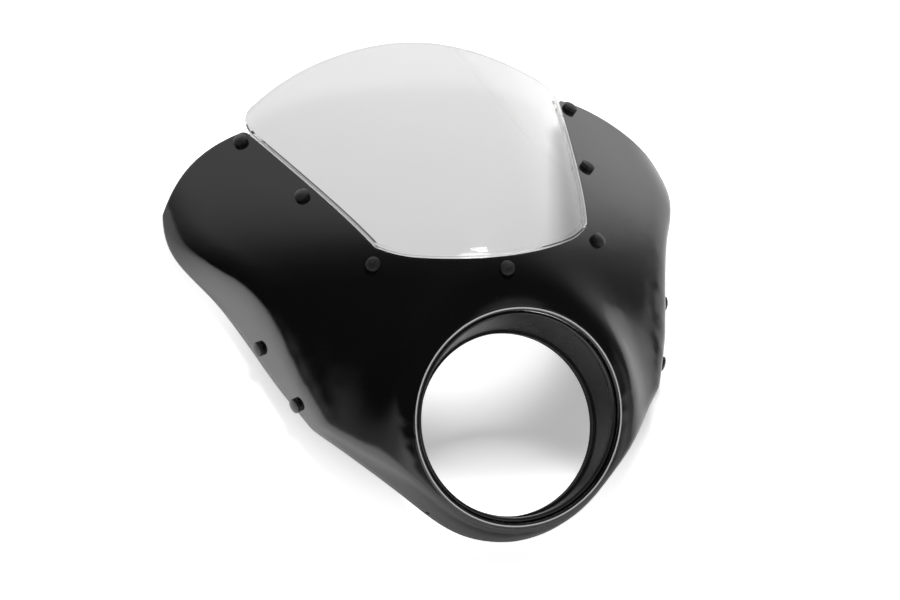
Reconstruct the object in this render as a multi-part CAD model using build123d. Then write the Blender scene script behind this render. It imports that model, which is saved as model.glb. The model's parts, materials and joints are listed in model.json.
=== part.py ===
from build123d import *
from math import acos, atan2, cos, exp, pi, radians, sin, sqrt, tan
import os

# Headlight cowl with a clear screen, in millimetres.
# The origin is the middle of the headlight bore, the bike's front is -Y, the rider's right is -X, up is +Z.

# Headlight opening
BORE_DIAMETER = 165.0
RIM_DIAMETER = 196.0
RIM_FORWARD = 36.5
RIM_RISE = 5.0
RIM_RAKE = 8.2
RIM_FLAT = 2.0
RIM_BLEND = 26.0
BEAD_WIDTH = 5.0
BEAD_PROUD = 1.2
RETURN_WALL = 2.6
RETURN_DEPTH = 13.0

# Front face: a nose line in side view, and one hyperbola across it at every height
SKIN_WALL = 3.2
NOSE_FORWARD = 72.0
BROW_HEIGHT = 165.0
BROW_BLEND = 46.7
SCREEN_LEAN = 51.2
CHIN_HEIGHT = -63.7
CHIN_BLEND = 60.0
CHIN_LEAN = 44.8
PLAN_SWEEP = 44.3
PLAN_BLEND = 120.0

# Shoulder line in front view, where the front face folds into the side skirt
CHIN_RADIUS = 104.0
CORNER_X = 162.0
CORNER_Z = 18.0
CORNER_RADIUS = 13.0
WAIST_X = 173.0
WAIST_Z = 46.0
FLARE_X = 211.0
FLARE_Z = 156.0
TIP_X = 243.5
TIP_Z = 219.0
SKIRT_TURN_LOW = 80.0
SKIRT_TURN_TOP = 73.0
FOLD_LOW = 24.0
FOLD_TOP = 62.0

# Rear edge in side view, and the wing's top edge in front view
CHIN_BACK = 14.5
TRIM_BREAK = -40.0
TRIM_LEAN = 31.1
TRIM_RADIUS = 60.0
WING_ARC_X = 124.0
WING_ARC_Z = 168.0
WING_ARC_RADIUS = 133.5
WING_TIP_RADIUS = 4.0

# Screen notch in front view: a shallow base, an arc up to each corner, and straight sides
NOTCH_BOTTOM = 149.2
NOTCH_BASE_X = 72.0
NOTCH_BASE_Z = 157.0
NOTCH_CORNER_X = 102.5
NOTCH_CORNER_Z = 171.2
NOTCH_TOP_X = 153.0
NOTCH_TOP_Z = 293.2
NOTCH_RADIUS = 8.0

# Screen: a raised panel, a step and a flange behind the cowl's skin
SCREEN_WALL = 3.0
SCREEN_PROUD = 1.8
SCREEN_GAP = 1.6
FLANGE_WIDTH = 20.0
FLANGE_INSET = 3.0
SCREEN_TOP = 366.3
SCREEN_ARCH_RADIUS = 238.0
SCREEN_CORNER_RADIUS = 25.0

# Headlight ring and its rubber edge trim
RING_WALL = 2.4
RING_LIP = 4.0
RING_LIP_DEPTH = 6.0
RING_SET_BACK = 2.4
TRIM_LENGTH = 9.0
TRIM_WALL = 1.8

# Fasteners
SHANK_DIAMETER = 5.0
HEAD_DIAMETER = 13.4
HEAD_WALL = 3.4
HEAD_CROWN = 1.8
HEAD_EDGE = 0.5
WASHER_DIAMETER = 12.0
WASHER_THICKNESS = 1.2
NUT_ACROSS_FLATS = 8.0
NUT_HEIGHT = 4.5
SHANK_END = 2.0
UPPER_SCREW_Z = 288.0
UPPER_SCREW_INSET = 11.3
MIDDLE_SCREW_Z = 227.5
MIDDLE_SCREW_INSET = 12.8
CORNER_SCREW_OUT = 5.0
CORNER_SCREW_DROP = 15.7
BOTTOM_SCREW_DROP = 11.6
SIDE_SCREW_HEIGHTS = (97.0, 42.0)
SIDE_SCREW_EDGES = (15.0, 9.0)
LOWER_HOLE_DIAMETER = 4.0
LOWER_HOLE_HEIGHT = -66.0
LOWER_HOLE_EDGE = 5.5

# Clearances
FIT_GAP = 0.4
SEAT_GAP = 0.1
CURVE_GAP = 0.45
HOLE_GAP = 0.6

# Working sizes of the cutters and of the net of section lines
REACH = 900.0
CENTRE_OVERLAP = 20.0
SKIRT_REACH = 30.0
NET_TOP = 330.0
NET_INSET = 0.3
NET_CROWDING = 1.35
STATION_SPACING = 34.0
FACE_POINTS = 13
SKIRT_POINTS = 6
SCREEN_LINES = 12
SLOPE_STEP = 0.01
HALVINGS = 40

RIM_RADIUS = RIM_DIAMETER / 2
BORE_RADIUS = BORE_DIAMETER / 2
RIM_INSIDE = RIM_RADIUS - BEAD_WIDTH / 2
LAND_INSIDE = BORE_RADIUS + TRIM_WALL + SEAT_GAP
LAND_OUTSIDE = LAND_INSIDE + RING_WALL
SCREEN_GRIP = SKIN_WALL + FIT_GAP + SCREEN_WALL
RIM_CENTRE = Vector(0, -RIM_FORWARD, RIM_RISE)
RIM_NORMAL = Vector(0, -cos(radians(RIM_RAKE)), -sin(radians(RIM_RAKE)))
RIM_PLANE = Plane(origin=RIM_CENTRE, x_dir=(1, 0, 0), z_dir=RIM_NORMAL)


def limited(value):
    """A value held between zero and one."""
    return min(max(value, 0.0), 1.0)


def ramp(t, blend):
    """Zero below zero and t above it, joined by a hyperbola."""
    return (t + sqrt(t * t + blend * blend)) / 2


def fold(a, b, blend):
    """The greater of two heights, rounded where they are close, with no step in curvature."""
    near = max(blend - abs(a - b), 0.0) / blend
    return max(a, b) + near**3 * blend / 6


def front_height(x, z):
    """Y of the plain front face."""
    nose = -NOSE_FORWARD
    nose += tan(radians(SCREEN_LEAN)) * ramp(z - BROW_HEIGHT, BROW_BLEND)
    nose += tan(radians(CHIN_LEAN)) * ramp(CHIN_HEIGHT - z, CHIN_BLEND)
    return nose + tan(radians(PLAN_SWEEP)) * (sqrt(x * x + PLAN_BLEND * PLAN_BLEND) - PLAN_BLEND)


def face_height(x, z):
    """Y of the front face where it settles onto the flat rim of the opening. The screen follows it too."""
    plain = front_height(x, z)
    rim = -RIM_FORWARD - (z - RIM_RISE) * tan(radians(RIM_RAKE))
    outside = max(sqrt(x * x + (z - RIM_RISE) ** 2) - RIM_RADIUS - RIM_FLAT, 0.0)
    return plain + (rim - plain) * exp(-((outside / RIM_BLEND) ** 2))


def shoulder_line():
    """Half of the shoulder in front view, from just past the chin's middle up past the wing's tip."""
    centre = Vector(0, RIM_RISE)
    corner = Vector(CORNER_X, CORNER_Z)
    waist = Vector(WAIST_X, WAIST_Z)
    tip = Vector(TIP_X, TIP_Z)
    arm = corner - centre
    end = atan2(arm.Y, arm.X) - acos(CHIN_RADIUS / arm.length)
    start = -pi / 2 - CENTRE_OVERLAP / CHIN_RADIUS
    on_arc = [centre + Vector(cos(a), sin(a)) * CHIN_RADIUS for a in (start, (start + end) / 2, end)]
    chin = ThreePointArc(*on_arc)
    lower = FilletPolyline(on_arc[2], corner, waist, radius=CORNER_RADIUS)
    side = Spline(waist, (FLARE_X, FLARE_Z), tip, tangents=(waist - corner, (0, 1)))
    rise = Line(tip, (TIP_X, NET_TOP))
    return Wire([chin, *lower.edges(), side, rise])


SHOULDER = shoulder_line()


def skin_point(share, step):
    """A point of the outer skin. Share runs along the shoulder; step runs from -1 at the middle of
    the face to 0 at the fold and on to 1 at the end of the skirt."""
    edge = SHOULDER @ share
    along = SHOULDER % share
    outward = Vector(along.Y, -along.X)
    if step <= 0:
        above_opening = limited((edge.Y - CORNER_Z) / RIM_RADIUS)
        spine = Vector(-CENTRE_OVERLAP, max(RIM_RISE, edge.Y))
        place = edge + (edge - spine) * step * (1 - NET_INSET * (1 - above_opening))
    else:
        place = edge + outward * step * SKIRT_REACH
    rise = limited((edge.Y - CORNER_Z) / (TIP_Z - CORNER_Z))
    blend = FOLD_LOW + (FOLD_TOP - FOLD_LOW) * rise
    turn = SKIRT_TURN_LOW + (SKIRT_TURN_TOP - SKIRT_TURN_LOW) * rise
    skirt = face_height(edge.X, edge.Y) + tan(radians(turn)) * (place - edge).dot(outward)
    return Vector(place.X, fold(face_height(place.X, place.Y), skirt, blend), place.Y)


def skin_face():
    """The right half of the outer skin, lofted through lines from the middle to the skirt's end."""
    steps = [-((1 - i / FACE_POINTS) ** NET_CROWDING) for i in range(FACE_POINTS)]
    steps += [i / SKIRT_POINTS for i in range(SKIRT_POINTS + 1)]
    shares = [0.0]
    for part in SHOULDER.edges():
        count = 2 + int(part.length / STATION_SPACING)
        shares += [shares[-1] + part.length / count / SHOULDER.length * (i + 1) for i in range(count)]
    lines = [Wire([Spline(*[skin_point(min(share, 1.0), step) for step in steps])]) for share in shares]
    return Shell.make_loft(lines).faces()[0]


def through(sketch):
    """A front-view outline as a cutter along Y."""
    return extrude(Plane.XZ * sketch, amount=REACH, both=True)


def notch_edge_x(z):
    """Half width of the notch at a height on its straight sides."""
    slope = (NOTCH_TOP_X - NOTCH_CORNER_X) / (NOTCH_TOP_Z - NOTCH_CORNER_Z)
    return NOTCH_CORNER_X + (z - NOTCH_CORNER_Z) * slope


def notch_outline():
    """The notch in front view, open past the cowl's top."""
    far_z = SCREEN_TOP + FLANGE_WIDTH
    far_x = notch_edge_x(far_z)
    base = ThreePointArc((-NOTCH_BASE_X, NOTCH_BASE_Z), (0, NOTCH_BOTTOM), (NOTCH_BASE_X, NOTCH_BASE_Z))
    right = TangentArc(base @ 1, (NOTCH_CORNER_X, NOTCH_CORNER_Z), tangent=base % 1)
    left = TangentArc(base @ 0, (-NOTCH_CORNER_X, NOTCH_CORNER_Z), tangent=-(base % 0))
    sides = Polyline(right @ 1, (far_x, far_z), (-far_x, far_z), left @ 1)
    outline = make_face([base, right, left, *sides.edges()])
    return fillet(outline.vertices().sort_by(Axis.Y)[2:4], NOTCH_RADIUS)


def rear_cutter():
    """All that lies behind the rear edge."""
    top = Vector(trim_height(REACH), REACH)
    edge = FilletPolyline((CHIN_BACK, -REACH), (CHIN_BACK, TRIM_BREAK), top, radius=TRIM_RADIUS)
    back = Polyline(top, (2 * REACH, REACH), (2 * REACH, -REACH), (CHIN_BACK, -REACH))
    return extrude(Plane.YZ * make_face([*edge.edges(), *back.edges()]), amount=REACH, both=True)


def trim_height(z):
    """Y of the rear edge at a height."""
    return CHIN_BACK + max(z - TRIM_BREAK, 0.0) * tan(radians(TRIM_LEAN))


def top_cutter():
    """All that lies outside the arc of the wing's top edge or in the notch, round the wing's blunt tip."""
    middle = Pos(WING_ARC_X, WING_ARC_Z)
    quarter = middle * Rectangle(REACH, REACH, align=(Align.MIN, Align.MIN))
    away = quarter - middle * Circle(WING_ARC_RADIUS) + notch_outline()
    tip = away.vertices().sort_by_distance((NOTCH_TOP_X, NOTCH_TOP_Z))[0]
    return through(fillet(tip, WING_TIP_RADIUS))


def seat_on_face(x, z):
    """A plane on the front face, its Z outward."""
    along_x = (face_height(x + SLOPE_STEP, z) - face_height(x - SLOPE_STEP, z)) / 2 / SLOPE_STEP
    along_z = (face_height(x, z + SLOPE_STEP) - face_height(x, z - SLOPE_STEP)) / 2 / SLOPE_STEP
    return Plane(origin=(x, face_height(x, z), z), x_dir=(1, along_x, 0), z_dir=(along_x, -1, along_z))


def shoulder_share(z):
    """Where along the shoulder line a height on its side lies."""
    low, high = 0.0, 1.0
    for _ in range(HALVINGS):
        middle = (low + high) / 2
        low, high = (middle, high) if (SHOULDER @ middle).Y < z else (low, middle)
    return low


def seat_on_skirt(z, from_edge):
    """A plane on the right skirt beside the shoulder's height z, ahead of the rear edge, its Z outward."""
    share = shoulder_share(z)
    low, high = 0.0, 1.0
    for _ in range(HALVINGS):
        middle = (low + high) / 2
        place = skin_point(share, middle)
        low, high = (middle, high) if place.Y < trim_height(place.Z) - from_edge else (low, middle)
    place = skin_point(share, low)
    down = skin_point(share, low + SLOPE_STEP) - place
    along = skin_point(share + SLOPE_STEP / 10, low) - skin_point(share - SLOPE_STEP / 10, low)
    return Plane(origin=place, x_dir=down, z_dir=down.cross(along))


def mirrored(plane):
    """The same seat on the other side."""
    flip = Vector(-1, 1, 1)
    origin, x_dir, z_dir = [
        Vector(v.X * flip.X, v.Y * flip.Y, v.Z * flip.Z) for v in (plane.origin, plane.x_dir, plane.z_dir)
    ]
    return Plane(origin=origin, x_dir=x_dir, z_dir=z_dir)


FACE_SEATS_RIGHT = [
    seat_on_face(notch_edge_x(UPPER_SCREW_Z) + UPPER_SCREW_INSET, UPPER_SCREW_Z),
    seat_on_face(notch_edge_x(MIDDLE_SCREW_Z) + MIDDLE_SCREW_INSET, MIDDLE_SCREW_Z),
    seat_on_face(NOTCH_CORNER_X + CORNER_SCREW_OUT, NOTCH_CORNER_Z - CORNER_SCREW_DROP),
]
BOTTOM_SEAT = seat_on_face(0, NOTCH_BOTTOM - BOTTOM_SCREW_DROP)
SIDE_SEATS_RIGHT = [seat_on_skirt(z, edge) for z, edge in zip(SIDE_SCREW_HEIGHTS, SIDE_SCREW_EDGES)]
LOWER_SEAT = seat_on_skirt(LOWER_HOLE_HEIGHT, LOWER_HOLE_EDGE)
SCREEN_SEATS = [*FACE_SEATS_RIGHT, *[mirrored(seat) for seat in FACE_SEATS_RIGHT], BOTTOM_SEAT]
SIDE_SEATS = [*SIDE_SEATS_RIGHT, *[mirrored(seat) for seat in SIDE_SEATS_RIGHT]]


def hole(seat, diameter):
    """A cutter for a round hole square to the skin."""
    return seat * Cylinder(diameter / 2, 4 * SCREEN_GRIP)


def make_rim():
    """The bead round the opening and the wall that turns in behind it, revolved about the rim's axis."""
    spring = BEAD_PROUD - BEAD_WIDTH / 2
    outside = RIM_INSIDE + BEAD_WIDTH
    crown = ThreePointArc((RIM_INSIDE, spring), (RIM_RADIUS, BEAD_PROUD), (outside, spring))
    back = Polyline(
        (outside, spring),
        (outside, -SKIN_WALL / 2),
        (RIM_INSIDE + RETURN_WALL, -SKIN_WALL / 2),
        (RIM_INSIDE + RETURN_WALL, -RETURN_DEPTH),
        (RIM_INSIDE, -RETURN_DEPTH),
        (RIM_INSIDE, spring),
    )
    section = make_face([crown, *back.edges()])
    return RIM_PLANE * revolve(Plane.XZ * section, Axis.Z)


def make_body():
    """The moulded skin with its rim, notch and holes: one half, then its mirror image sewn to it."""
    skin = skin_face()
    opening = RIM_PLANE * Cylinder(RIM_INSIDE + RETURN_WALL / 2, REACH)
    cutters = [rear_cutter(), top_cutter(), opening]
    for seat in [*FACE_SEATS_RIGHT, BOTTOM_SEAT, *SIDE_SEATS_RIGHT]:
        cutters.append(hole(seat, SHANK_DIAMETER + HOLE_GAP))
    cutters.append(hole(LOWER_SEAT, LOWER_HOLE_DIAMETER))
    for cutter in cutters:
        skin = (skin - cutter).faces().sort_by(SortBy.AREA)[-1]
    right_side = Pos(REACH / 2, 0, 0) * Box(REACH, 2 * REACH, 2 * REACH)
    right = Solid.thicken(skin, SKIN_WALL, normal_override=(0, 1, 0)) & right_side
    right += make_rim() & right_side
    faces = [face for face in right.faces() if face.bounding_box().max.X > FIT_GAP]
    return Solid(Shell([*faces, *[mirror(face, Plane.YZ).face() for face in faces]]))


def screen_slab(ahead, depth):
    """A slab that follows the front face, from a distance ahead of it inward."""
    half = NOTCH_TOP_X + 2 * FLANGE_WIDTH
    low = NOTCH_BOTTOM - 2 * FLANGE_WIDTH
    high = SCREEN_TOP + FLANGE_WIDTH
    lines = []
    for i in range(SCREEN_LINES + 1):
        z = low + (high - low) * i / SCREEN_LINES
        seats = [seat_on_face(half * (2 * j / SCREEN_LINES - 1), z) for j in range(SCREEN_LINES + 1)]
        lines.append(Wire([Spline(*[seat.origin + seat.z_dir * ahead for seat in seats])]))
    surface = Shell.make_loft(lines).faces()[0]
    return Solid.thicken(surface, depth, normal_override=(0, 1, 0))


def make_screen():
    """The clear screen: a panel in the notch, a step behind its edge and a flange behind the skin."""
    under_arch = Pos(0, SCREEN_TOP - SCREEN_ARCH_RADIUS) * Circle(SCREEN_ARCH_RADIUS)
    panel = offset(notch_outline(), -SCREEN_GAP) & under_arch
    panel = fillet(panel.vertices().sort_by(Axis.Y)[-2:], SCREEN_CORNER_RADIUS)
    wing_tops = SlotCenterToCenter(2 * WING_ARC_X, 2 * (WING_ARC_RADIUS - FLANGE_INSET))
    behind_wings = Pos(0, WING_ARC_Z) * wing_tops
    flange = offset(notch_outline(), FLANGE_WIDTH) & behind_wings
    to_flange = SCREEN_PROUD + SKIN_WALL + FIT_GAP
    whole = screen_slab(SCREEN_PROUD, to_flange + SCREEN_WALL) & through(panel + flange)
    ahead = screen_slab(2 * SCREEN_PROUD, SCREEN_PROUD + to_flange) - through(panel)
    behind = screen_slab(SCREEN_PROUD - SCREEN_WALL, to_flange + SCREEN_WALL)
    behind &= through(offset(panel, -SCREEN_WALL) + (panel - behind_wings))
    holes = [hole(seat, SHANK_DIAMETER + 2 * HOLE_GAP) for seat in SCREEN_SEATS]
    return whole - ahead - behind - holes


def circle_wire(plane, radius):
    """A circle about a plane's origin."""
    return (plane * Circle(radius)).wire()


def make_ring():
    """The funnel behind the rim: a rounded lip, a wall that narrows to the bore, a land for the trim."""
    lip_outside = RIM_INSIDE - CURVE_GAP
    lip_inside = lip_outside - RING_LIP
    lip_front = RIM_PLANE.offset(-RING_SET_BACK)
    lip_back = lip_front.offset(-RING_LIP_DEPTH)
    land = Plane.XZ.offset(TRIM_LENGTH / 2)
    outer_ends = [circle_wire(lip_back, lip_outside), circle_wire(land, LAND_OUTSIDE)]
    inner_ends = [circle_wire(lip_back, lip_inside), circle_wire(land, LAND_INSIDE)]
    outside = Solid.make_loft(outer_ends, ruled=True)
    inside = Solid.make_loft(inner_ends, ruled=True)
    lip = extrude(lip_front * (Circle(lip_outside) - Circle(lip_inside)), amount=-RING_LIP_DEPTH)
    lip = fillet(lip.edges().sort_by(Axis(lip_front.origin, lip_front.z_dir))[-2:], RING_LIP / 2 - SEAT_GAP)
    tail_length = TRIM_LENGTH - TRIM_WALL - SEAT_GAP
    tail = extrude(land * (Circle(LAND_OUTSIDE) - Circle(LAND_INSIDE)), amount=-tail_length)
    return (outside - inside) + lip + tail


def make_ring_trim():
    """The rubber channel over the ring's rear edge, which is the bore that the lamp passes."""
    half = TRIM_LENGTH / 2
    slot_inside = LAND_INSIDE - SEAT_GAP
    slot_outside = LAND_OUTSIDE + SEAT_GAP
    section = Polyline(
        (BORE_RADIUS, -half),
        (slot_inside, -half),
        (slot_inside, half - TRIM_WALL),
        (slot_outside, half - TRIM_WALL),
        (slot_outside, 0),
        (slot_outside + TRIM_WALL, 0),
        (slot_outside + TRIM_WALL, half),
        (BORE_RADIUS, half),
        close=True,
    )
    return revolve(make_face(section), Axis.Y)


def make_screw(grip):
    """A smooth dome-headed screw that stands on its seat, its shank down -Z."""
    radius = HEAD_DIAMETER / 2
    under = CURVE_GAP
    shoulder = under + HEAD_WALL
    crown = shoulder + HEAD_CROWN
    end = -grip - CURVE_GAP - WASHER_THICKNESS - NUT_HEIGHT - SHANK_END
    ball = (radius**2 + HEAD_CROWN**2) / 2 / HEAD_CROWN
    halfway = crown - ball + sqrt(ball**2 - radius**2 / 4)
    dome = ThreePointArc((radius, shoulder), (radius / 2, halfway), (0, crown))
    shank = SHANK_DIAMETER / 2
    rest = Polyline((0, crown), (0, end), (shank, end), (shank, under), (radius, under), (radius, shoulder))
    section = make_face([dome, *rest.edges()])
    section = fillet(section.vertices().sort_by_distance((radius, shoulder))[0], HEAD_EDGE)
    return revolve(Plane.XZ * section, Axis.Z)


def make_washer(grip):
    """A flat washer behind what the screw clamps."""
    ring = Circle(WASHER_DIAMETER / 2) - Circle((SHANK_DIAMETER + HOLE_GAP) / 2)
    return Pos(0, 0, -grip - CURVE_GAP) * extrude(ring, amount=-WASHER_THICKNESS)


def make_nut(grip):
    """A hexagon nut behind the washer."""
    hexagon = RegularPolygon(NUT_ACROSS_FLATS / 2, 6, major_radius=False)
    ring = hexagon - Circle((SHANK_DIAMETER + SEAT_GAP) / 2)
    return Pos(0, 0, -grip - CURVE_GAP - WASHER_THICKNESS) * extrude(ring, amount=-NUT_HEIGHT)


def placed(solid, seats):
    """One copy of a fastener at each seat, kept as separate solids."""
    return Compound(children=[seat.location * solid for seat in seats])


NODES = {
    "cowl_body": make_body(),
    "windshield": make_screen(),
    "headlight_ring": make_ring(),
    "ring_trim": make_ring_trim(),
    "windshield_screws": placed(make_screw(SCREEN_GRIP), SCREEN_SEATS),
    "windshield_washers": placed(make_washer(SCREEN_GRIP), SCREEN_SEATS),
    "windshield_nuts": placed(make_nut(SCREEN_GRIP), SCREEN_SEATS),
    "side_screws": placed(make_screw(SKIN_WALL), SIDE_SEATS),
    "side_washers": placed(make_washer(SKIN_WALL), SIDE_SEATS),
    "side_nuts": placed(make_nut(SKIN_WALL), SIDE_SEATS),
}

os.makedirs("parts", exist_ok=True)
for name, solid in NODES.items():
    export_step(solid, f"parts/{name}.step", write_pcurves=False)
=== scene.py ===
import json
import math

import bpy
from mathutils import Matrix, Vector

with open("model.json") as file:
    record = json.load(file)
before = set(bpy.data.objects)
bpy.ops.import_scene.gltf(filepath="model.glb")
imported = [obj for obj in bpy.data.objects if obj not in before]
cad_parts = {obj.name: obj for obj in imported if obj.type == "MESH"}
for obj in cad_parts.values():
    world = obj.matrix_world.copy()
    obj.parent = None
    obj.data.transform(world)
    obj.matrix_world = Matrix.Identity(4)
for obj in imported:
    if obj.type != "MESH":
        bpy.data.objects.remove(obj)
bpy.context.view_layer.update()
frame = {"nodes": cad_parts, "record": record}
nodes = frame["nodes"]
scene = bpy.context.scene
scene.view_settings.view_transform = "Standard"

# Camera: azimuth, elevation and roll of the view, the distance and the side offsets in metres
VIEW_AZIMUTH = math.radians(-19.575)
VIEW_ELEVATION = math.radians(-1.7538)
VIEW_ROLL = math.radians(-6.9182)
VIEW_DISTANCE = 5.3969
VIEW_OFFSET = (0.0499963, -0.1121891)
LENS = 240.0
SENSOR_WIDTH = 36.0
CLIP_END = 50.0

# The table that the cowl lies on: it touches the chin and the wings' rear edges
TABLE_LEAN = 0.493
TABLE_FOOT = Vector((0, 0.0145, -0.108))
TABLE_SIZE = 6.0
TABLE_SHADE = 0.8
table_normal = Vector((0, -1, TABLE_LEAN)).normalized()
table_up = Vector((0, TABLE_LEAN, 1)).normalized()

# All stops below are pairs of a place on a ramp and the level there

# How white the camera sees the table, by the distance from the middle of the shadow: painted shade, the
# glow is lower under the cowl and full in the open
SHADE_CENTRE = TABLE_FOOT + Vector((0.02, 0.106, 0.215))
SHADE_SPREAD = (3.6, 4.0, 4.0)
GLOW_UNDER = 0.36
GLOW_OPEN = 0.85
GLOW_STOPS = [(0.0, GLOW_UNDER), (0.62, GLOW_UNDER), (0.9, GLOW_OPEN)]

# The table's width on a ramp, from 1.5 m on the left of the cowl to 0.5 m on its right
WIDTH_SCALE = 0.5
WIDTH_SHIFT = 0.75

# What the screen shows of the table, as painted light stronger on the right, and a painted reflection: a
# pale glow low on the left that only the gloss sees
SCREEN_STOPS = [(0.80, 0.07), (0.86, 0.6)]
MIRROR_LEFT = 1.2
MIRROR_STOPS = [(0.0, 0.0), (0.48, MIRROR_LEFT), (0.62, MIRROR_LEFT), (0.75, 0.0)]
LOW_SHIFT = 0.3
LOW_STOPS = [(0.42, 1.0), (0.55, 0.0)]

# Where the table fades out, to the left and away from the cowl
FADE_LEFT_STOPS = [(0.35, 1.0), (0.61, 0.0)]
FADE_SCALE = 0.125
FADE_STOPS = [(0.18, 0.0), (0.7, 1.0)]

# The room: a wall beyond the table's top end, turned to the right, and a low band on the chin's side
WALL_TURN = math.radians(20)
WALL_SIDE = table_up * math.cos(WALL_TURN) + Vector((math.sin(WALL_TURN), 0, 0))
WALL_STOPS = [(0.0, 0.01), (0.3, 0.05), (0.5, 0.15), (0.62, 0.32), (0.75, 0.62), (1.0, 1.0)]
BAND = 0.5
BAND_LEAN = 0.35
BAND_STOPS = [(0.0, BAND), (0.62, BAND), (0.74, 0.0)]
BEHIND_STOPS = [(0.1, 2.6), (0.36, 0.9), (0.56, 0.0)]

# One soft lamp over the table
LAMP_AIM = Vector((0, 0.05, 0.1))
LAMP_HEIGHT = 2.2
LAMP_AHEAD = 0.9
LAMP_RIGHT = Vector((0.1, 0, 0))
LAMP_PLACE = LAMP_AIM + table_normal * LAMP_HEIGHT + table_up * LAMP_AHEAD + LAMP_RIGHT
LAMP_SIZE = 0.7
LAMP_POWER = 50.0

# The rim bead's circle in the CAD, and a painted highlight as a pale line on its crest, by the radius in
# units of 100 mm
RIM_RAKE = math.radians(8.2)
RIM_CENTRE = (0, -0.0365, 0.005)
RIM_NORMAL = (0, -math.cos(RIM_RAKE), -math.sin(RIM_RAKE))
RIM_HIGHLIGHT_SHADE = 0.5
RIM_HIGHLIGHT_PROUD = 0.0002
RIM_HIGHLIGHT_SCALE = 10.0
RIM_HIGHLIGHT_STOPS = [(0.973, 0.0), (0.977, 1.0), (0.985, 1.0), (0.989, 0.0)]

# How far the skin's normals are smoothed, in metres, by the radius and the height in units of 200 mm
SMOOTH_RIM = 0.0003
SMOOTH_FLAT = 0.006
SMOOTH_LOW = 0.009
SMOOTH_HIGH = 0.003
SMOOTH_SCALE = 5.0
SMOOTH_RIM_STOPS = [(0.503, SMOOTH_RIM), (0.51, SMOOTH_FLAT), (0.58, SMOOTH_LOW)]
SMOOTH_HEIGHT_STOPS = [(0.6, SMOOTH_LOW), (0.7, SMOOTH_HIGH)]
SMOOTH_SAMPLES = 6

# The screen's tint, the tint of the sawn edge along its arch, and the height where the arch starts
SCREEN_TINT = 0.87
SCREEN_EDGE_TINT = 0.12
SCREEN_ARCH_FOOT = 0.285
SCREEN_SHADOW = 0.93

PLASTIC_IOR = 1.5
ACRYLIC_IOR = 1.49
DUST_ROUGHNESS = 0.25


def grey(shade):
    return (shade, shade, shade, 1)


class Nodes:
    """A short way to add and link shader nodes."""

    def __init__(self, owner):
        owner.use_nodes = True
        self.tree = owner.node_tree
        self.tree.nodes.clear()

    def put(self, socket, value):
        if hasattr(value, "is_output"):
            self.tree.links.new(value, socket)
        else:
            socket.default_value = value

    def add(self, kind, values=None, **settings):
        node = self.tree.nodes.new(kind)
        for name, value in settings.items():
            setattr(node, name, value)
        for name, value in (values or {}).items():
            self.put(node.inputs[name], value)
        return node

    def ramp(self, value, stops, interpolation="EASE"):
        node = self.add("ShaderNodeValToRGB", {"Fac": value})
        ramp = node.color_ramp
        ramp.interpolation = interpolation
        while len(ramp.elements) < len(stops):
            ramp.elements.new(0.5)
        for element, (place, shade) in zip(ramp.elements, stops):
            element.position = place
            element.color = (*shade, 1) if hasattr(shade, "__len__") else grey(shade)
        return node.outputs["Color"]

    def math(self, operation, a, b=0.0):
        return self.add("ShaderNodeMath", {0: a, 1: b}, operation=operation).outputs[0]

    def rescale(self, value, scale, shift):
        return self.math("ADD", self.math("MULTIPLY", value, scale), shift)

    def unit(self, value):
        """Brings a value between -1 and 1 to between 0 and 1."""
        return self.rescale(value, 0.5, 0.5)

    def vector(self, operation, a, b):
        node = self.add("ShaderNodeVectorMath", {0: a, 1: b}, operation=operation)
        return node.outputs["Vector"]

    def dot(self, a, b):
        node = self.add("ShaderNodeVectorMath", {0: a, 1: b}, operation="DOT_PRODUCT")
        return node.outputs["Value"]

    def length(self, a):
        return self.add("ShaderNodeVectorMath", {0: a}, operation="LENGTH").outputs["Value"]

    def place(self):
        return self.add("ShaderNodeTexCoord").outputs["Object"]

    def axis(self, vector, name):
        return self.add("ShaderNodeSeparateXYZ", {"Vector": vector}).outputs[name]

    def noise(self, scale, detail, rough=0.5):
        values = {"Vector": self.place(), "Scale": scale, "Detail": detail, "Roughness": rough}
        return self.add("ShaderNodeTexNoise", values).outputs["Fac"]

    def bump(self, height, strength, distance, normal=None):
        values = {"Height": height, "Strength": strength, "Distance": distance}
        if normal:
            values["Normal"] = normal
        return self.add("ShaderNodeBump", values).outputs[0]

    def principled(self, values):
        return self.add("ShaderNodeBsdfPrincipled", values).outputs[0]

    def mix(self, factor, first, second):
        return self.add("ShaderNodeMixShader", {0: factor, 1: first, 2: second}).outputs[0]

    def surface(self, shader, kind="ShaderNodeOutputMaterial"):
        self.add(kind, {"Surface": shader})


def new_material(name):
    material = bpy.data.materials.new(name)
    return material, Nodes(material)


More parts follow.
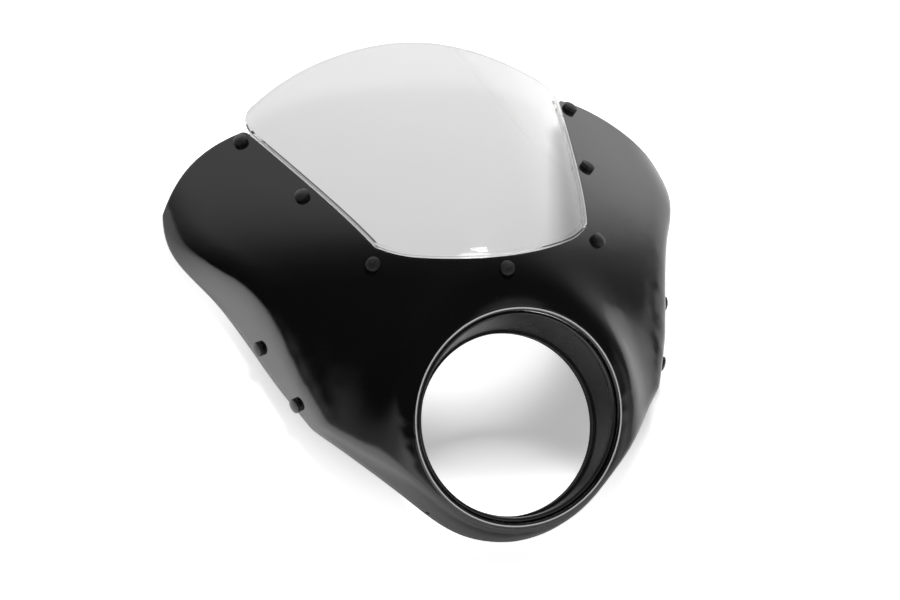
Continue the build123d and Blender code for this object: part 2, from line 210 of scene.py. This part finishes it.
def gloss_skin():
    """Moulded black plastic, polished, with a faint orange peel, a little dust, and a painted highlight as
    a pale line on the rim bead's crest.
    """
    material, n = new_material("gloss_skin")
    peel = n.noise(scale=420.0, detail=1.0)
    dust = n.ramp(n.noise(scale=900.0, detail=1.0, rough=0.3), [(0.0, 0.0), (0.76, 0.0), (0.80, 1.0)])
    smear = n.ramp(n.noise(scale=14.0, detail=4.0, rough=0.6), [(0.3, 0.10), (0.75, 0.15)])
    cloud = n.noise(scale=6.0, detail=3.0)
    plain = n.ramp(cloud, [(0.3, (0.0035, 0.0035, 0.0037)), (0.8, (0.0055, 0.0055, 0.0058))])
    from_rim = n.vector("SUBTRACT", n.place(), RIM_CENTRE)
    radius = n.length(n.vector("CROSS_PRODUCT", from_rim, RIM_NORMAL))
    # Painted highlight: a pale line on the rim bead's crest, only where the bead stands proud of the rim's
    # plane
    proud = n.math("GREATER_THAN", n.dot(from_rim, RIM_NORMAL), RIM_HIGHLIGHT_PROUD)
    rim_highlight_band = n.ramp(n.math("MULTIPLY", radius, RIM_HIGHLIGHT_SCALE), RIM_HIGHLIGHT_STOPS)
    crest = n.math("MULTIPLY", rim_highlight_band, proud)
    by_rim = n.ramp(n.math("MULTIPLY", radius, SMOOTH_SCALE), SMOOTH_RIM_STOPS)
    level = n.axis(n.place(), "Z")
    by_height = n.ramp(n.math("MULTIPLY", level, SMOOTH_SCALE), SMOOTH_HEIGHT_STOPS)
    spread = n.math("MINIMUM", by_rim, by_height)
    smooth = n.add("ShaderNodeBevel", {"Radius": spread}, samples=SMOOTH_SAMPLES).outputs[0]
    # The base colour is the plain tone, lifted by the painted rim highlight
    n.surface(n.principled({
        "Base Color": n.math("MAXIMUM", plain, n.math("MULTIPLY", crest, RIM_HIGHLIGHT_SHADE)),
        "Roughness": n.math("ADD", smear, n.math("MULTIPLY", dust, DUST_ROUGHNESS)),
        "IOR": PLASTIC_IOR,
        "Coat Weight": 0.3,
        "Coat Roughness": 0.08,
        "Normal": n.bump(peel, strength=0.018, distance=0.0004, normal=smooth),
    }))
    return material


def clear_screen():
    """Clear moulded sheet with a faint grey tint and light waves; it casts only a faint shadow."""
    material, n = new_material("clear_screen")
    wave = n.noise(scale=18.0, detail=1.0)
    haze = n.noise(scale=240.0, detail=2.0)
    face = n.add("ShaderNodeNewGeometry").outputs["True Normal"]
    edge = n.math("ABSOLUTE", n.dot(face, table_up))
    arch = n.math("MULTIPLY", edge, n.math("GREATER_THAN", n.axis(n.place(), "Z"), SCREEN_ARCH_FOOT))
    sheet = n.principled({
        "Base Color": n.ramp(arch, [(0.5, SCREEN_TINT), (0.65, SCREEN_EDGE_TINT)]),
        "Roughness": n.ramp(haze, [(0.35, 0.012), (0.8, 0.035)]),
        "IOR": ACRYLIC_IOR,
        "Transmission Weight": 1.0,
        "Normal": n.bump(wave, strength=0.03, distance=0.001),
    })
    shadow = n.add("ShaderNodeBsdfTransparent", {"Color": grey(SCREEN_SHADOW)}).outputs[0]
    path = n.add("ShaderNodeLightPath")
    lighting = n.math("MAXIMUM", path.outputs["Is Shadow Ray"], path.outputs["Is Diffuse Ray"])
    n.surface(n.mix(lighting, sheet, shadow))
    return material


def satin_ring():
    """Moulded black plastic with a fine even grain."""
    material, n = new_material("satin_ring")
    grain = n.noise(scale=2600.0, detail=2.0)
    smear = n.noise(scale=30.0, detail=3.0)
    cloud = n.noise(scale=20.0, detail=3.0)
    n.surface(n.principled({
        "Base Color": n.ramp(cloud, [(0.3, (0.010, 0.010, 0.0105)), (0.8, (0.014, 0.014, 0.0145))]),
        "Roughness": n.ramp(smear, [(0.3, 0.22), (0.8, 0.32)]),
        "IOR": PLASTIC_IOR,
        "Normal": n.bump(grain, strength=0.05, distance=0.0002),
    }))
    return material


def edge_rubber(name):
    """Matt black rubber with fine pores."""
    material, n = new_material(name)
    pores = n.noise(scale=3200.0, detail=3.0, rough=0.7)
    cloud = n.noise(scale=60.0, detail=4.0)
    n.surface(n.principled({
        "Base Color": n.ramp(cloud, [(0.3, 0.006), (0.8, 0.012)]),
        "Roughness": n.ramp(pores, [(0.3, 0.55), (0.8, 0.75)]),
        "IOR": PLASTIC_IOR,
        "Specular IOR Level": 0.35,
        "Normal": n.bump(pores, strength=0.2, distance=0.0002),
    }))
    return material


def black_fastener():
    """Satin black coating, a little worn and uneven."""
    material, n = new_material("black_fastener")
    speck = n.noise(scale=1800.0, detail=3.0)
    wear = n.noise(scale=150.0, detail=4.0)
    n.surface(n.principled({
        "Base Color": n.ramp(wear, [(0.3, (0.012, 0.012, 0.012)), (0.85, (0.026, 0.026, 0.027))]),
        "Roughness": n.ramp(speck, [(0.3, 0.30), (0.8, 0.44)]),
        "IOR": PLASTIC_IOR,
        "Normal": n.bump(speck, strength=0.12, distance=0.0002),
    }))
    return material


def plated_nut():
    """Zinc-plated steel with a fine speckle."""
    material, n = new_material("plated_nut")
    speck = n.noise(scale=1200.0, detail=4.0, rough=0.6)
    cloud = n.noise(scale=200.0, detail=4.0)
    n.surface(n.principled({
        "Base Color": n.ramp(cloud, [(0.3, (0.50, 0.50, 0.49)), (0.8, (0.66, 0.66, 0.65))]),
        "Metallic": 1.0,
        "Roughness": n.ramp(speck, [(0.3, 0.26), (0.8, 0.42)]),
        "Normal": n.bump(speck, strength=0.1, distance=0.0002),
    }))
    return material


def table_paper():
    """White paper, seen from its front only: it keeps the shadow, and fades out away from the cowl. Its
    glow is partly painted light: painted shade under the cowl, painted light through the screen on the
    right, and a painted reflection low on the left.
    """
    material, n = new_material("table")
    grain = n.noise(scale=500.0, detail=3.0)
    normal = n.bump(grain, strength=0.02, distance=0.0005)
    where = n.place()
    far = n.length(n.vector("MULTIPLY", n.vector("SUBTRACT", where, SHADE_CENTRE), SHADE_SPREAD))
    across = n.rescale(n.axis(where, "X"), WIDTH_SCALE, WIDTH_SHIFT)
    low = n.ramp(n.math("ADD", n.axis(where, "Z"), LOW_SHIFT), LOW_STOPS)
    path = n.add("ShaderNodeLightPath")
    through = path.outputs["Is Transmission Ray"]
    mirrored = n.math("MULTIPLY", path.outputs["Is Glossy Ray"], n.math("SUBTRACT", 1.0, through))
    # Painted shade: the camera sees less glow on the table under the cowl
    straight_level = n.math("MULTIPLY", path.outputs["Is Camera Ray"], n.ramp(far, GLOW_STOPS))
    # Painted light: through the screen the table glows more on the right, lifting the shade there
    painted_screen_glow = n.math("MULTIPLY", through, n.ramp(across, SCREEN_STOPS))
    # Painted reflection: a pale glow low on the left of the table, seen only by glossy rays
    painted_reflection_patch = n.math("MULTIPLY", n.ramp(across, MIRROR_STOPS), low)
    mirror_level = n.math("MULTIPLY", mirrored, painted_reflection_patch)
    glow_level = n.math("ADD", n.math("ADD", straight_level, painted_screen_glow), mirror_level)
    diffuse = n.add("ShaderNodeBsdfDiffuse", {"Color": grey(TABLE_SHADE), "Normal": normal}).outputs[0]
    glow = n.add("ShaderNodeEmission", {"Color": grey(1.0), "Strength": glow_level}).outputs[0]
    paper = n.add("ShaderNodeAddShader", {0: diffuse, 1: glow}).outputs[0]
    fading = n.ramp(n.math("MULTIPLY", far, FADE_SCALE), FADE_STOPS)
    faded = n.math("MAXIMUM", fading, n.ramp(across, FADE_LEFT_STOPS))
    backfacing = n.add("ShaderNodeNewGeometry").outputs["Backfacing"]
    clear = n.add("ShaderNodeBsdfTransparent").outputs[0]
    n.surface(n.mix(n.math("MAXIMUM", backfacing, faded), paper, clear))
    return material


def studio_room():
    """A pale wall, a low pale band and a dark ceiling; white to the camera and through the screen."""
    world = bpy.data.worlds.new("studio")
    n = Nodes(world)
    direction = n.add("ShaderNodeTexCoord").outputs["Generated"]
    ahead = n.dot(direction, table_up)
    wall = n.ramp(n.dot(direction, WALL_SIDE), WALL_STOPS, "LINEAR")
    rise = n.math("ADD", n.dot(direction, table_normal), n.math("MULTIPLY", ahead, BAND_LEAN))
    band = n.math("MULTIPLY", n.ramp(n.unit(rise), BAND_STOPS), n.ramp(n.unit(ahead), BEHIND_STOPS))
    sky = n.math("MAXIMUM", wall, band)
    room = n.add("ShaderNodeBackground", {"Color": sky, "Strength": 1.0}).outputs[0]
    white = n.add("ShaderNodeBackground", {"Color": grey(1.0), "Strength": 1.0}).outputs[0]
    path = n.add("ShaderNodeLightPath")
    backdrop = n.math("MAXIMUM", path.outputs["Is Camera Ray"], path.outputs["Is Transmission Ray"])
    n.surface(n.mix(backdrop, room, white), "ShaderNodeOutputWorld")
    return world


def place_camera():
    across = Vector((math.cos(VIEW_AZIMUTH), math.sin(VIEW_AZIMUTH), 0))
    toward = Vector((
        math.sin(VIEW_AZIMUTH) * math.cos(VIEW_ELEVATION),
        -math.cos(VIEW_AZIMUTH) * math.cos(VIEW_ELEVATION),
        math.sin(VIEW_ELEVATION),
    ))
    upward = toward.cross(across)
    right = across * math.cos(VIEW_ROLL) + upward * math.sin(VIEW_ROLL)
    top = upward * math.cos(VIEW_ROLL) - across * math.sin(VIEW_ROLL)
    eye = toward * VIEW_DISTANCE - right * VIEW_OFFSET[0] - top * VIEW_OFFSET[1]
    data = bpy.data.cameras.new("camera")
    data.lens = LENS
    data.sensor_width = SENSOR_WIDTH
    data.clip_end = CLIP_END
    camera = bpy.data.objects.new("camera", data)
    turn = Matrix((right, top, toward)).transposed().to_4x4()
    camera.matrix_world = Matrix.Translation(eye) @ turn
    scene.collection.objects.link(camera)
    scene.camera = camera


def place_table():
    mesh = bpy.data.meshes.new("table")
    corners = []
    for side, rise in ((-1, -1), (1, -1), (1, 1), (-1, 1)):
        corners.append(TABLE_FOOT + Vector((side * TABLE_SIZE, 0, 0)) + table_up * rise * TABLE_SIZE)
    mesh.from_pydata(corners, [], [(0, 1, 2, 3)])
    mesh.materials.append(table_paper())
    table = bpy.data.objects.new("table", mesh)
    scene.collection.objects.link(table)


def place_lamp():
    data = bpy.data.lights.new("overhead", "AREA")
    data.shape = "RECTANGLE"
    data.size = LAMP_SIZE
    data.size_y = LAMP_SIZE
    data.energy = LAMP_POWER
    lamp = bpy.data.objects.new("overhead", data)
    lamp.location = LAMP_PLACE
    lamp.rotation_euler = (LAMP_AIM - LAMP_PLACE).to_track_quat("-Z", "Y").to_euler()
    lamp.visible_glossy = False
    scene.collection.objects.link(lamp)


place_camera()
materials = {
    "gloss_skin": gloss_skin(),
    "clear_screen": clear_screen(),
    "satin_ring": satin_ring(),
    "edge_rubber": edge_rubber("edge_rubber"),
    "black_fastener": black_fastener(),
    "rubber_washer": edge_rubber("rubber_washer"),
    "plated_nut": plated_nut(),
}
for entry in frame["record"]["subparts"]:
    piece = nodes[entry["node"]]
    piece.data.materials.clear()
    piece.data.materials.append(materials[entry["material_slot"]])
place_table()
scene.world = studio_room()
place_lamp()
